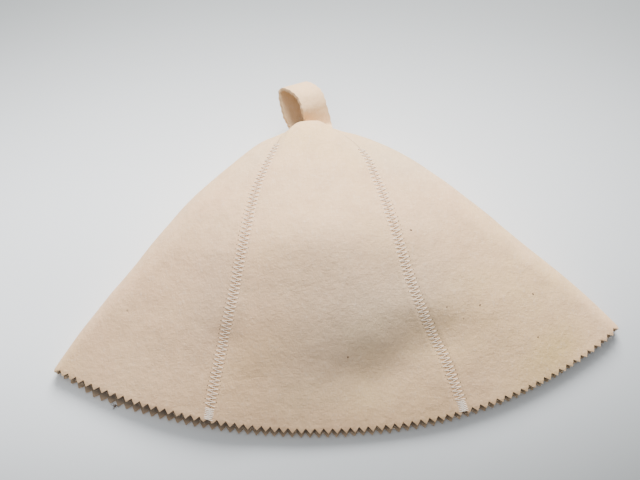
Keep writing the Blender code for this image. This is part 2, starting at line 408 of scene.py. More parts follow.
def ring_by_share(along):
    """One ring of the form, read at equal shares of its front and of its back."""
    halves = []
    for points in form_ring(along):
        lengths = lengths_along(points)
        wanted = np.linspace(0, lengths[-1], NET_COLUMNS // 2, endpoint=False)
        halves.append(np.column_stack([np.interp(wanted, lengths, points[:, axis]) for axis in range(3)]))
    return np.vstack(halves)


net = np.stack([ring_by_share(along) for along in net_alongs])
round_way = np.roll(net, -1, axis=1) - np.roll(net, 1, axis=1)
hem_way = np.gradient(net, axis=0)
net_out = np.cross(hem_way, round_way)
net_out /= np.linalg.norm(net_out, axis=2, keepdims=True)
girths = np.linalg.norm(round_way, axis=2).sum(axis=1) / 2
slants = np.linalg.norm(np.diff(net, axis=0), axis=2).sum(axis=0)
print("hem:", round(girths[-1], 3), "m round")
print("slant:", round(slants.min(), 3), "to", round(slants.max(), 3), "m")


class Seam(NamedTuple):
    step: int         # half teeth from the left fold, over the front
    tip: float        # share of the way round where it starts at the tip
    bow: float        # share of the way round by which it curves aside


SEAMS = [
    Seam(38, 0.153, 0.0),
    Seam(96, 0.345, 0.006),
    Seam(150, 0.540, 0.0),
    Seam(204, 0.739, 0.0),
    Seam(260, 0.937, 0.0),
]
BOW_END = 0.85
# the seams, with the side folds at the left, right and left again
KNOTS = [Seam(0, 0.0, 0.0), *SEAMS[:2], Seam(TEETH, 0.5, 0.0), *SEAMS[2:], Seam(STEPS, 1.0, 0.0)]
KNOT_STEPS, KNOT_TIPS, KNOT_BOWS = (np.array(column) for column in zip(*KNOTS))


def share_at(step, along):
    """Share of the way round the hat at a step of the pattern."""
    turns, step = np.divmod(step, STEPS)
    i = np.clip(np.searchsorted(KNOT_STEPS, step, side="right") - 1, 0, len(KNOT_STEPS) - 2)
    t = (step - KNOT_STEPS[i]) / (KNOT_STEPS[i + 1] - KNOT_STEPS[i])
    at_tip = KNOT_TIPS[i] * (1 - t) + KNOT_TIPS[i + 1] * t
    bow = KNOT_BOWS[i] * (1 - t) + KNOT_BOWS[i + 1] * t
    wave = np.sin(2 * math.pi * np.minimum(along / BOW_END, 1.0))
    return turns + at_tip + (step / STEPS - at_tip) * along + bow * wave


def on_felt(step, along, height, beside=0.0):
    """Points on the hat: height is out of the felt's middle, beside is metres round the hat."""
    step, along = np.asarray(step, float), np.clip(np.asarray(along, float), 0.0, 1.0)
    girth = np.interp(along, net_alongs, girths)
    column = ((share_at(step, along) + beside / girth) % 1.0) * NET_COLUMNS
    row = along * (NET_ROWS - 1)
    r0 = np.clip(np.floor(row).astype(int), 0, NET_ROWS - 2)
    c0 = np.floor(column).astype(int) % NET_COLUMNS
    c1 = (c0 + 1) % NET_COLUMNS
    fr, fc = (row - r0)[..., None], (column - np.floor(column))[..., None]

    def read(table):
        upper = table[r0, c0] * (1 - fc) + table[r0, c1] * fc
        return upper * (1 - fr) + (table[r0 + 1, c0] * (1 - fc) + table[r0 + 1, c1] * fc) * fr

    return read(net) + read(net_out) * np.asarray(height)[..., None]


# %% [markdown]
# ## The felt gores
#
# Each gore is cut flat first, as a grid whose x is its place round the hem and whose y runs
# from tip to hem. Moving the hem row up and down by half teeth pinks it. Extruding the
# whole sheet and keeping the original gives the second skin and the cut edge in one step,
# which Solidify could do too, but here each skin is then laid on the form by itself, with
# its own soft lumps. A small bevel takes the knife edge off the cut felt.

# %% Columns, rows and lumps of a gore
SEAM_GAP = 0.2 * MM
SEAM_GROOVE = 0.55 * MM
GROOVE_WIDTH = 3.2 * MM
SWELL_PLACE, SWELL_WIDTH, SWELL_SHARE = 5.2 * MM, 1.6 * MM, 0.45
HEM_PITCH = 5.45 * MM
PANEL_RISE, PANEL_EDGE = 2.4 * MM, 3.6 * MM
SHOULDER_DROP, SHOULDER_WIDTH = 1.9 * MM, 6.0 * MM
PANEL_PLACE, PANEL_SPREAD = 0.10, 0.09
EDGE_COLUMNS = [0.0, 0.12, 0.3, 0.55, 0.9, 1.3]
ROW_COUNT, ROW_CROWDING = 78, 1.15
HEM_ROWS = [0.962, 0.972, 0.979, 0.9845]
EDGE_BEVEL = 0.5 * MM
BEVEL_SEGMENTS, BEVEL_ANGLE = 2, math.radians(50)


class Lump(NamedTuple):
    size: float       # metres from lump to lump
    height: float


LUMPS = [Lump(0.045, 0.55 * MM), Lump(0.016, 0.22 * MM), Lump(0.0055, 0.09 * MM)]


def lump_height(points):
    """Unevenness of hand felt, as soft noise of several sizes."""
    total = np.zeros(len(points))
    for lump in LUMPS:
        total += [lump.height * noise.noise(Vector(p) / lump.size) for p in points]
    return total


def panel_relief(step, along, beside=0.0):
    """Near the tip the front gore stands out between its seams, and the gores beside it sink."""
    girth = np.interp(along, net_alongs, girths)
    place = (share_at(step, along) + beside / girth) % 1.0
    left, right = (share_at(np.full_like(along, seam.step), along) for seam in SEAMS[:2])
    inside = np.minimum(place - left, right - place) * girth
    risen = PANEL_RISE * (1 - np.exp(-(np.maximum(inside, 0) / PANEL_EDGE) ** 2))
    apart = np.maximum(-inside, 0) / SHOULDER_WIDTH
    sunk = SHOULDER_DROP * apart * np.exp(1 - apart)
    return (risen - sunk) * np.exp(-((along - PANEL_PLACE) / PANEL_SPREAD) ** 2)


def groove_depth(from_seam):
    """How far the felt is pulled in beside a seam, and how it swells past the stitches."""
    pulled = np.exp(-(from_seam / GROOVE_WIDTH) ** 2)
    swollen = np.exp(-((from_seam - SWELL_PLACE) / SWELL_WIDTH) ** 2)
    return SEAM_GROOVE * (pulled - SWELL_SHARE * swollen)


def gore_columns(first, last):
    """Steps of the columns: each half tooth and between, and closer beside the seams."""
    whole = np.arange(math.ceil(first) + 2, math.floor(last) - 1, 1.0)
    halves = np.arange(whole[0] + 0.5, whole[-1], 1.0)
    near = [first + e for e in EDGE_COLUMNS] + [last - e for e in EDGE_COLUMNS]
    return sorted({*whole, *halves, *near})


def gore_rows():
    """Places of the rows from tip to hem, a little closer near the tip and close at the hem."""
    tip = np.linspace(0, 1, ROW_COUNT) ** ROW_CROWDING * HEM_ROWS[0]
    return [*tip, *HEM_ROWS[1:], 1.0]


def flat_grid(xs, ys):
    """A flat grid with its columns at xs and its rows at ys."""
    bm = bmesh.new()
    bmesh.ops.create_grid(bm, x_segments=len(xs) - 1, y_segments=len(ys) - 1, size=1.0)
    for vert in bm.verts:
        column = round((vert.co.x + 1) / 2 * (len(xs) - 1))
        row = round((vert.co.y + 1) / 2 * (len(ys) - 1))
        vert.co = (xs[column], ys[row], 0.0)
    return bm


def second_skin(bm):
    """Doubles a flat sheet and closes its rim: z is 1 on the outer skin and -1 on the inner one."""
    doubled = bmesh.ops.extrude_face_region(bm, geom=bm.faces[:], use_keep_orig=True)
    for vert in bm.verts:
        vert.co.z = 1.0
    for item in doubled["geom"]:
        if isinstance(item, bmesh.types.BMVert):
            item.co.z = -1.0


def finish_piece(name, bm, finish, bevel=None):
    """Turns a bmesh into a smooth shaded piece that rides on the hat."""
    bmesh.ops.recalc_face_normals(bm, faces=bm.faces)
    mesh = bpy.data.meshes.new(name)
    bm.to_mesh(mesh)
    bm.free()
    mesh.shade_smooth()
    mesh.materials.append(finish.material)
    piece = link(name, mesh)
    if bevel:
        rounding = piece.modifiers.new("cut_edge", "BEVEL")
        rounding.width = bevel
        rounding.segments = BEVEL_SEGMENTS
        rounding.limit_method = "ANGLE"
        rounding.angle_limit = BEVEL_ANGLE
    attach(piece, "root")
    return piece


# %% [markdown]
# ## Felt finish
#
# Wool felt has no weave. Up close it is a mat of fibres that lie in all directions, with
# lighter and darker wisps, a few dark specks of plant matter, and a matt surface that
# catches light at its edges because of the fuzz. The wisps are noise stretched in three
# directions, the specks are the centres of a few Voronoi cells, and a sheen stands for the
# fuzz. The inside of the hat and of the loop is painted darker and greyer, as painted shade,
# and so is a thin line along each seam. A point attribute carries that painted shade from
# the mesh to the shader. Greyish patches of painted shade lie above and in the dent and
# beside the front gore's tip, and yellowish stains lie near the hem. Each is a soft blot
# whose middle is found from its pixel.

# %% Colours of the felt
CREAM = (0.820, 0.555, 0.325, 1.0)
CREAM_PINK = (0.815, 0.525, 0.315, 1.0)
CREAM_YELLOW = (0.805, 0.550, 0.290, 1.0)
WISP_LIGHT = (0.880, 0.700, 0.530, 1.0)
WISP_DARK = (0.600, 0.390, 0.230, 1.0)
SPECK = (0.140, 0.095, 0.065, 1.0)
# painted shade inside the hat and the loop and along the seams
PAINTED_SHADE_COLOUR = (0.150, 0.142, 0.130, 1.0)

# %% Soft patches at their places in the photograph


class Patch(NamedTuple):
    pixel: tuple      # its middle in the photograph
    height: float     # of the felt there, in metres
    turn: float       # degrees, from the photograph's left and right
    reach: tuple      # metres along and across it
    strength: float
    colour: tuple


# the grey patches are painted shade; the yellow ones are stains
PATCHES = [
    Patch((372, 330), 0.035, 22.0, (0.085, 0.042), 0.40, (0.560, 0.470, 0.370, 1.0)),
    Patch((556, 350), 0.015, 30.0, (0.036, 0.016), 0.55, (0.620, 0.440, 0.170, 1.0)),
    Patch((345, 285), 0.045, 8.0, (0.095, 0.055), 0.24, (0.560, 0.460, 0.360, 1.0)),
    Patch((215, 300), 0.030, 78.0, (0.060, 0.026), 0.20, (0.560, 0.460, 0.360, 1.0)),
    Patch((388, 155), 0.045, -33.0, (0.045, 0.022), 0.34, (0.560, 0.500, 0.370, 1.0)),
    Patch((256, 158), 0.045, 45.0, (0.035, 0.014), 0.22, (0.560, 0.500, 0.370, 1.0)),
    Patch((330, 395), 0.025, 0.0, (0.060, 0.020), 0.24, (0.680, 0.530, 0.280, 1.0)),
]


def ray_through(pixel):
    """The direction of the line from the camera through a pixel of the photograph."""
    right = (pixel[0] - PHOTO_SIZE[0] / 2) / LENS_PIXELS
    up = (PHOTO_SIZE[1] / 2 - pixel[1]) / LENS_PIXELS
    return (away.to_track_quat("Z", "Y") @ Vector((right, up, -1.0))).normalized()


def patch_mask(felt, place, patch):
    """1 in the middle of a patch, falling smoothly to 0 at its reach."""
    ray = ray_through(patch.pixel)
    middle = camera.location + ray * (patch.height - camera.location.z) / ray.z
    rotation = (0.0, 0.0, math.radians(patch.turn))
    return felt.falloff(place, (1.0, 0.0), Location=middle, Rotation=rotation, Scale=(*patch.reach, 1.0))


# %% Felt material
# turn of each layer of wisps, and how fine it is along its own axes
WISPS = [
    (0.35, (260.0, 1100.0, 500.0)),
    (1.90, (1200.0, 300.0, 500.0)),
    (1.10, (700.0, 240.0, 700.0)),
]
# the noise values between which each effect sets in, and how strong it gets
WARM, HUE = (0.35, 0.65), (0.38, 0.62)
DUSTY, DUSTY_SHARE = (0.42, 0.66), 0.30
BRIGHT, BRIGHT_SHARE = (0.52, 0.68), 0.55
DIM, DIM_SHARE = (0.48, 0.32), 0.40
SPECK_CELLS, SPECK_LUCK = 105.0, 0.86
SPECK_EDGE, SPECK_SHARE = (0.085, 0.040), 0.55
BUMP_MAT, BUMP_PILLING, BUMP_CLOUD = 0.55, 0.45, 0.8
BUMP_STRENGTH, BUMP_DEPTH = 0.75, 0.9 * MM
# painted shade: its point attribute and strength, how dark and wide a seam line is painted, where it
# eases at the cut hem, and how much the loop's inner skin gets
SHADE_ATTRIBUTE, PAINTED_SHADE_SHARE = "painted_shade", 0.85
SEAM_SHADE, SEAM_SHADE_WIDTH = 0.30, 0.4 * MM
HEM_SHADE_EASE, HEM_SHADE_SHARE = (0.986, 0.998), 0.62
LOOP_PAINTED_SHADE = 0.35


def felt_finish(name, shade=1.0):
    """Cream wool felt: a tone for each large patch, wisps of fibre, specks, painted shade and fuzz."""
    felt = Finish(name)
    place = felt.place()
    cream, pink, yellow, light, dark = (
        tuple(c * shade for c in colour[:3]) + (1.0,)
        for colour in (CREAM, CREAM_PINK, CREAM_YELLOW, WISP_LIGHT, WISP_DARK)
    )
    broad = felt.node("TexNoise", Vector=place, Scale=22.0, Detail=3.0, Roughness=0.55)
    tint = felt.node("TexNoise", Vector=place, Scale=11.0, Detail=1.0)
    cloud = felt.node("TexNoise", Vector=place, Scale=110.0, Detail=3.0, Roughness=0.6)
    colour = felt.mix(felt.ramp(broad, WARM), cream, felt.mix(felt.ramp(tint, HUE), pink, yellow))
    colour = felt.mix(felt.ramp(cloud, DUSTY) * DUSTY_SHARE, colour, dark)
    # grey patches are painted shade, yellow ones are stains
    for stain_and_shade in PATCHES:
        colour = felt.mix(patch_mask(felt, place, stain_and_shade) * stain_and_shade.strength, colour, stain_and_shade.colour)

    wisps = []
    for turn, scale in WISPS:
        turned = felt.node("Mapping", Vector=place, Rotation=(0.0, 0.0, turn), Scale=scale)
        wisps.append(felt.node(
            "TexNoise", Vector=turned, Scale=1.0, Detail=4.0, Roughness=0.6, Distortion=0.6))
    mat = (wisps[0] + wisps[1] + wisps[2]) * (1 / 3)
    colour = felt.mix(felt.ramp(mat, BRIGHT) * BRIGHT_SHARE, colour, light)
    colour = felt.mix(felt.ramp(mat, DIM) * DIM_SHARE, colour, dark)

    cells, chance = (
        felt.node("TexVoronoi", output=output, Vector=place, Scale=SPECK_CELLS)
        for output in ("Distance", "Color")
    )
    lucky = felt.node("SeparateColor", Color=chance) > SPECK_LUCK
    colour = felt.mix(felt.ramp(cells, SPECK_EDGE) * lucky * SPECK_SHARE, colour, SPECK)

    # painted shade inside the hat and the loop and along the seams, read from a point attribute
    painted_shade = felt.node("Attribute", {"attribute_name": SHADE_ATTRIBUTE}, output="Fac")
    colour = felt.mix(painted_shade * PAINTED_SHADE_SHARE, colour, PAINTED_SHADE_COLOUR)

    pilling = felt.node("TexNoise", Vector=place, Scale=420.0, Detail=5.0, Roughness=0.62)
    height = mat * BUMP_MAT + pilling * BUMP_PILLING + cloud * BUMP_CLOUD
    bump = felt.node("Bump", Height=height, Strength=BUMP_STRENGTH, Distance=BUMP_DEPTH)
    felt.set(
        Base_Color=colour,
        Roughness=0.93,
        Specular_IOR_Level=0.15,
        Sheen_Weight=0.15,
        Sheen_Roughness=0.6,
        Sheen_Tint=(1.0, 0.88, 0.74, 1.0),
        Normal=bump,
    )
    return felt


gore_felt = felt_finish("gore_felt")
loop_felt = felt_finish("loop_felt", shade=0.97)

# %% Cut the gores and lay them on the form
GORES = ["front", "right", "back_right", "back_left", "left"]


def lay_gore(name, first, last):
    """One gore: cut flat, pinked at the hem, doubled, and laid on the form."""
    bm = flat_grid(gore_columns(first, last), gore_rows())
    for vert in bm.verts:
        if vert.co.y == 1.0:
            vert.co.y = 1.0 - abs(vert.co.x % 2 - 1) * TOOTH_DEPTH / SLANT
    second_skin(bm)
    bm.verts.ensure_lookup_table()
    cut = np.array([vert.co[:] for vert in bm.verts])
    step, along, side = cut.T
    girth = np.interp(along, net_alongs, girths)
    from_first = (step - first) * HEM_PITCH / 2 * girth / girths[-1]
    from_last = (last - step) * HEM_PITCH / 2 * girth / girths[-1]
    from_seam = np.minimum(from_first, from_last)
    beside = SEAM_GAP / 2 * ((step <= first).astype(float) - (step >= last))
    groove = groove_depth(from_seam)
    lumps = lump_height(on_felt(step, along, 0.0, beside)) + panel_relief(step, along, beside)
    height = side * (FELT / 2 - groove) + lumps * (side > 0)
    placed = on_felt(step, along, height, beside)
    placed[:, 2] = np.maximum(placed[:, 2], 0.0)   # the table flattens the felt on it
    for vert, point in zip(bm.verts, placed):
        vert.co = point
    piece = finish_piece("felt_" + name, bm, gore_felt, EDGE_BEVEL)
    # painted shade: a thin line along each seam, and the whole inner skin, a little less at the cut hem
    at_seam = SEAM_SHADE * np.exp(-(from_seam / SEAM_SHADE_WIDTH) ** 2)
    inside = (1 - side) / 2 * np.interp(along, HEM_SHADE_EASE, (1.0, HEM_SHADE_SHARE))
    painted_shade = piece.data.attributes.new(SHADE_ATTRIBUTE, "FLOAT", "POINT")
    painted_shade.data.foreach_set("value", np.maximum(inside, at_seam).astype(np.float32))
    return piece


gores = {}
for name, seam, following in zip(GORES, SEAMS, SEAMS[1:] + SEAMS[:1]):
    last = following.step + (STEPS if following.step < seam.step else 0)
    gores[name] = lay_gore(name, seam.step, last)
    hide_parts("gore_" + name)
print("gore faces:", {name: len(piece.data.polygons) for name, piece in gores.items()})

# %% [markdown]
# ## The hanging loop
#
# The loop is a short strip of thinner felt, pinked along both long edges, bent over and
# sewn into the tip with both ends. It is cut flat like a gore. Its path is a list of places
# along the front leg, over the fold and back. Past the slot the strip turns a little on
# itself, rises and leans, as a stiff strip does.

# %% Path of the strip
STRIP = 2.0 * MM
STRIP_WIDTH = 21.0 * MM
STRIP_PITCH = 4.0 * MM
STRIP_TOOTH = 0.55 * MM
LOOP_TWIST, LOOP_LEAN, LOOP_PITCH = (math.radians(a) for a in (34, 15, 20))
TWIST_START, TWIST_LENGTH, LEAN_LENGTH = 4.3 * MM, 5 * MM, 16 * MM


class LoopPoint(NamedTuple):
    out: float        # millimetres out of the slot
    apart: float      # millimetres from the middle between the legs
    aside: float      # millimetres to the right


LOOP_PATH = [
    LoopPoint(-13.0, 2.3, 1.5),
    LoopPoint(-6.0, 2.3, 1.5),
    LoopPoint(0.0, 2.4, 1.5),
    LoopPoint(5.5, 2.9, 1.2),
    LoopPoint(9.0, 4.0, 0.9),
    LoopPoint(12.5, 5.3, 0.8),
    LoopPoint(16.0, 6.4, 0.9),
    LoopPoint(21.0, 7.2, 1.2),
    LoopPoint(27.0, 6.2, 1.4),
    LoopPoint(32.0, 2.4, 1.2),
    LoopPoint(35.2, -2.6, 1.2),
    LoopPoint(35.9, -5.6, 1.2),
    LoopPoint(34.8, -7.8, 1.0),
    LoopPoint(30.0, -9.2, 0.6),
    LoopPoint(23.0, -9.6, 0.2),
    LoopPoint(17.0, -9.0, -0.6),
    LoopPoint(12.5, -7.4, -2.0),
    LoopPoint(9.0, -5.6, -3.4),
    LoopPoint(5.5, -3.6, -4.2),
    LoopPoint(0.0, -2.4, -3.4),
    LoopPoint(-6.0, -2.3, -2.0),
    LoopPoint(-13.0, -2.3, -1.5),
]


def smooth_step(x):
    x = np.clip(x, 0.0, 1.0)
    return x * x * (3 - 2 * x)


PATH_SAMPLES = 801
drawn = np.array(LOOP_PATH) * MM
knots = np.arange(len(drawn), dtype=float)
fine = np.linspace(0, knots[-1], PATH_SAMPLES)
path = np.column_stack([spline(fine, knots, drawn[:, axis]) for axis in range(3)])
path_lengths = lengths_along(path)
print("strip:", round(path_lengths[-1] / MM, 1), "mm long")


def loop_middle(length, across):
    """A point in the middle of the strip, by its length from one end and its place across."""
    out, apart, aside = (float(np.interp(length, path_lengths, path[:, axis])) for axis in range(3))
    slot = section_at(0.0)
    base = Vector((TIP.x + slot.shift, TIP.y - slot.down, slot.lift + FELT / 2 + slot.fold))
    twist = Matrix.Rotation(LOOP_TWIST * smooth_step((out - TWIST_START) / TWIST_LENGTH), 3, "Y")
    share = smooth_step((out - TWIST_START) / LEAN_LENGTH)
    pitch = Matrix.Rotation(LOOP_PITCH * share, 3, "X")
    lean = Matrix.Rotation(LOOP_LEAN * share, 3, "Z")
    return base + lean @ pitch @ (twist @ Vector((across, 0.0, apart)) + Vector((aside, out, 0.0)))


PROBE = 0.2 * MM


def on_strip(length, across, height):
    """A point on the strip, at a height out of its middle."""
    ahead = loop_middle(length + PROBE, across) - loop_middle(length - PROBE, across)
    sideways = loop_middle(length, across + MM) - loop_middle(length, across - MM)
    return loop_middle(length, across) + sideways.cross(ahead).normalized() * height


# %% Cut the strip and bend it
STRIP_COLUMNS = 18
ROWS_PER_TOOTH = 4
RIM = 0.1 * MM
STRIP_LUMPS = 0.6
STRIP_BEVEL = 0.35 * MM

teeth = round(path_lengths[-1] / STRIP_PITCH)
strip_rows = np.linspace(0, path_lengths[-1], teeth * ROWS_PER_TOOTH + 1)
strip_columns = np.linspace(-STRIP_WIDTH / 2, STRIP_WIDTH / 2, STRIP_COLUMNS + 1)
bm = flat_grid(strip_columns, range(len(strip_rows)))
for vert in bm.verts:
    if STRIP_WIDTH / 2 - abs(vert.co.x) < RIM:
        phase = (round(vert.co.y) % ROWS_PER_TOOTH) / ROWS_PER_TOOTH
        vert.co.x -= math.copysign(STRIP_TOOTH * abs(1 - 2 * phase), vert.co.x)
second_skin(bm)
sides = np.array([vert.co.z for vert in bm.verts], dtype=np.float32)
for vert in bm.verts:
    across, row, side = vert.co
    vert.co = on_strip(float(strip_rows[round(row)]), across, side * STRIP / 2)
lumps = lump_height([v.co for v in bm.verts])
for vert, lump in zip(bm.verts, lumps):
    vert.co.z += STRIP_LUMPS * lump
loop = finish_piece("loop_strip", bm, loop_felt, STRIP_BEVEL)
# painted shade on the strip's inner skin
painted_shade = loop.data.attributes.new(SHADE_ATTRIBUTE, "FLOAT", "POINT")
painted_shade.data.foreach_set("value", LOOP_PAINTED_SHADE * (1 - sides) / 2)
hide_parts("hanging_loop")
print("loop faces:", len(loop.data.polygons))

# %% [markdown]
# ## Thread
#
# The seams are sewn by machine with a wide zigzag in cream thread. The needle goes down at
# each end of a stitch, so each stitch is a straight bridge that dips into the felt at both
# ends. One curve runs through all the stitches of a seam. Blender gives it a round section,
# and it is then turned into a mesh, because a mesh is what the other programs read.

# %% Thread material and a helper for tubes
THREAD_COLOUR = (0.96, 0.830, 0.680, 1.0)
THREAD_SHADE = (0.84, 0.690, 0.540, 1.0)
BAR_COLOUR = (0.98, 0.880, 0.770, 1.0)


def thread_finish(name, light, dark):
    """Cotton thread: two tones in fine grains."""
    cotton = Finish(name)
    grain = cotton.node("TexNoise", Vector=cotton.place(), Scale=900.0, Detail=2.0)
    cotton.set(
        Base_Color=cotton.mix(grain, light, dark),
        Roughness=0.6,
        Specular_IOR_Level=0.35,
        Sheen_Weight=0.2,
    )
    return cotton


cream_thread = thread_finish("cream_thread", THREAD_COLOUR, THREAD_SHADE)
bar_thread = thread_finish("bar_thread", BAR_COLOUR, THREAD_COLOUR)


def tubes(name, lines, diameter, finish, roundness=1, tip=1.0):
    """One mesh of round threads through lines of points; tip is the share left at the end."""
    curve = bpy.data.curves.new(name, "CURVE")
    curve.dimensions = "3D"
    curve.bevel_depth = diameter / 2
    curve.bevel_resolution = roundness
    curve.use_fill_caps = True
    for line in lines:
        points = curve.splines.new("POLY").points
        points.add(len(line) - 1)
        points.foreach_set("co", np.column_stack([line, np.ones(len(line))]).ravel())
        points.foreach_set("radius", np.linspace(1.0, tip, len(line)))
    strands = bpy.data.objects.new(name + "_line", curve)
    bpy.context.scene.collection.objects.link(strands)
    graph = bpy.context.evaluated_depsgraph_get()
    mesh = bpy.data.meshes.new_from_object(strands.evaluated_get(graph))
    bpy.data.objects.remove(strands)
    mesh.name = name
    mesh.shade_smooth()
    mesh.materials.clear()
    mesh.materials.append(finish.material)
    piece = link(name, mesh)
    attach(piece, "root")
    return piece


# %% [markdown]
# ## Zigzag seams
#
# Each V of the zigzag is 2.7 mm long and 6.6 mm wide, both measured in the photograph. The
# sewing starts narrow a little below the tip, and at the hem a bar of tight stitches
# locks it. A seam is never quite even, so each needle hole is moved a little at random,
# always in the same way because the random numbers start from a fixed seed.

# %% Stitches on a seam
STITCH_WIDTH = 6.6 * MM
STITCH_STEP = 1.35 * MM
SEWN_FROM = [0.135, 0.178, 0.16, 0.16, 0.16]
THREAD = 0.42 * MM
THREAD_RIDE = 0.14 * MM
NEEDLE_DEPTH = 0.7 * MM
NARROW_ALONG, NARROW_SHARE = (0.14, 0.36), (0.50, 1.0)
BAR_LENGTH, BAR_WIDTH, BAR_STEP = 7.5 * MM, 5.8 * MM, 0.56 * MM
BAR_FROM_HEM = 2.0 * MM
UNEVEN_PITCH, UNEVEN_WIDTH = 0.05, 0.02
# share of the way over a stitch, and share of the full height there
BRIDGE = [(0.0, 0.0), (0.06, 0.75), (0.2, 1.0), (0.5, 1.12), (0.8, 1.0), (0.94, 0.75)]
shake = np.random.default_rng(7)


def seam_reader(step):
    """Turns a length down a seam into its share of the way from tip to hem."""
    lengths = lengths_along(on_felt(np.full(NET_ROWS, step), net_alongs, 0.0))
    return lengths[-1], lambda length: np.interp(length, lengths, net_alongs)


def sewn_points(step, along, beside, outside, lift):
    """Points beside a seam on the outer or inner skin, lifted off it."""
    lumps = 0.0
    if outside > 0:
        lumps = lump_height(on_felt(step, along, 0.0, beside)) + panel_relief(step, along, beside)
    skin = outside * (FELT / 2 - groove_depth(np.abs(beside)) + lift) + lumps
    return on_felt(step, along, skin, beside)


def zigzag(step, start, stop, pitch, width, outside):
    """The thread's line and its needle holes, between two lengths down a seam."""
    _, along_at = seam_reader(step)
    count = int((stop - start) / pitch)
    down = start + np.arange(count + 1) * pitch + shake.normal(0, UNEVEN_PITCH * pitch, count + 1)
    beside = np.where(np.arange(count + 1) % 2, 0.5, -0.5) * width
    beside += shake.normal(0, UNEVEN_WIDTH * width, count + 1)
    beside *= np.interp(along_at(down), NARROW_ALONG, NARROW_SHARE)
    shares, heights = np.array(BRIDGE).T
    t = np.arange(count)[:, None] + shares
    line_down = np.append(np.interp(t, np.arange(count + 1), down), down[-1])
    line_beside = np.append(np.interp(t, np.arange(count + 1), beside), beside[-1])
    lift = np.append(np.tile(heights, count), 0.0) * (NEEDLE_DEPTH + THREAD_RIDE) - NEEDLE_DEPTH
    # a taut stitch bridges the groove over the seam
    lift += groove_depth(np.abs(line_beside)) - groove_depth(width / 2)
    steps = np.full(len(line_down), float(step))
    line = sewn_points(steps, along_at(line_down), line_beside, outside, lift)
    line[:, 2] = np.maximum(line[:, 2], THREAD / 2)
    return line, (along_at(down), beside)


bars = []
holes = []
for seam, sewn_from in zip(SEAMS, SEWN_FROM):
    total, _ = seam_reader(seam.step)
    start, stop = sewn_from * total, total - BAR_FROM_HEM - BAR_LENGTH
    lines = []
    for outside in (1, -1):
        line, where = zigzag(seam.step, start, stop, STITCH_STEP, STITCH_WIDTH, outside)
        lines.append(line)
        if outside > 0:
            bar, _ = zigzag(seam.step, stop, total - BAR_FROM_HEM, BAR_STEP, BAR_WIDTH, outside)
            bars.append(bar)
            holes.append((seam.step, *where))
    seam_thread = tubes("zigzag_" + str(seam.step), lines, THREAD, cream_thread)
hem_bars = tubes("hem_bars", bars, THREAD, bar_thread)
print("stitches in a seam:", [len(h[1]) - 1 for h in holes])

# %% [markdown]
# ## Needle holes
#
# The needle leaves a small dimple at each end of a stitch, and a smaller one near the tip.
# At this size a dark disc on the felt, painted shade in the dimple, is enough. A circle is
# made flat at the origin and then moved by a matrix whose third column is the felt's own
# outward direction.

# %% Painted shade of the dimples at the ends of the stitches
# painted shade: the colour of the discs that stand for the shade in each needle dimple
HOLE_SHADE_COLOUR = (0.20, 0.145, 0.10, 1.0)
HOLE_RADIUS, HOLE_SIZES, HOLE_CORNERS = 0.36 * MM, (0.6, 1.1), 7
HOLE_ASIDE, HOLE_LIFT = 0.35 * MM, 0.06 * MM
FULL_HOLES_FROM = 0.48

# painted shade: a dark matt finish for the discs
hole_shade = Finish("needle_hole_shade")
hole_shade.set(Base_Color=HOLE_SHADE_COLOUR, Roughness=0.95, Specular_IOR_Level=0.1)


def surface_frame(step, along, beside, lift):
    """A matrix that sits on the outer skin, with Z out of the felt."""
    lifts = np.array([lift, lift + MM])
    tips = sewn_points(np.full(2, float(step)), np.full(2, along), np.full(2, beside), 1, lifts)
    out = Vector(tips[1] - tips[0]).normalized()
    return Matrix.Translation(Vector(tips[0])) @ out.to_track_quat("Z", "Y").to_matrix().to_4x4()


bm = bmesh.new()
for step, alongs, besides in holes:
    for along, beside in zip(alongs, besides):
        place = surface_frame(step, along, beside + math.copysign(HOLE_ASIDE, beside), HOLE_LIFT)
        size = HOLE_RADIUS * shake.uniform(*HOLE_SIZES) * min(along / FULL_HOLES_FROM, 1.0) ** 2
        bmesh.ops.create_circle(bm, cap_ends=True, segments=HOLE_CORNERS, radius=size, matrix=place)
hole_shades = finish_piece("needle_hole_shades", bm, hole_shade)
print("dimples:", sum(len(h[1]) for h in holes))

# %% [markdown]
# ## Specks and lint
#
# Bits of plant stay in wool felt, and this hat shows some larger ones. Each was found in the
# photograph by its pixel. A line from the camera through that pixel meets the felt, and a
# flattened ball is put there. A BVH tree of each gore makes that search quick. A tuft of
# dark lint hangs at the hem end of the back left seam.

# %% Specks at their places in the photograph
SPECK_PIXELS = [(411, 230), (533, 294), (480, 305), (447, 307), (538, 337), (348, 357)]
SPECK_RADIUS = 0.50 * MM
SPECK_STRETCH, SPECK_FLATTEN = (0.8, 1.7), 0.35
BITS_COLOUR = (0.16, 0.105, 0.07, 1.0)

bits = Finish("plant_bits")
bits.set(Base_Color=BITS_COLOUR, Roughness=0.8, Specular_IOR_Level=0.2)


def felt_under(pixel):
    """Where the line from the camera through a pixel meets the felt, and the way out of it."""
    hits = [tree.ray_cast(camera.location, ray_through(pixel)) for tree in gore_trees]
    place, out, _, _ = min((hit for hit in hits if hit[0] is not None), key=lambda hit: hit[3])
    return place, out


def tree_of(piece):
    """A search tree of a piece's faces."""
    shape = bmesh.new()
    shape.from_mesh(piece.data)
    tree = BVHTree.FromBMesh(shape)
    shape.free()
    return tree


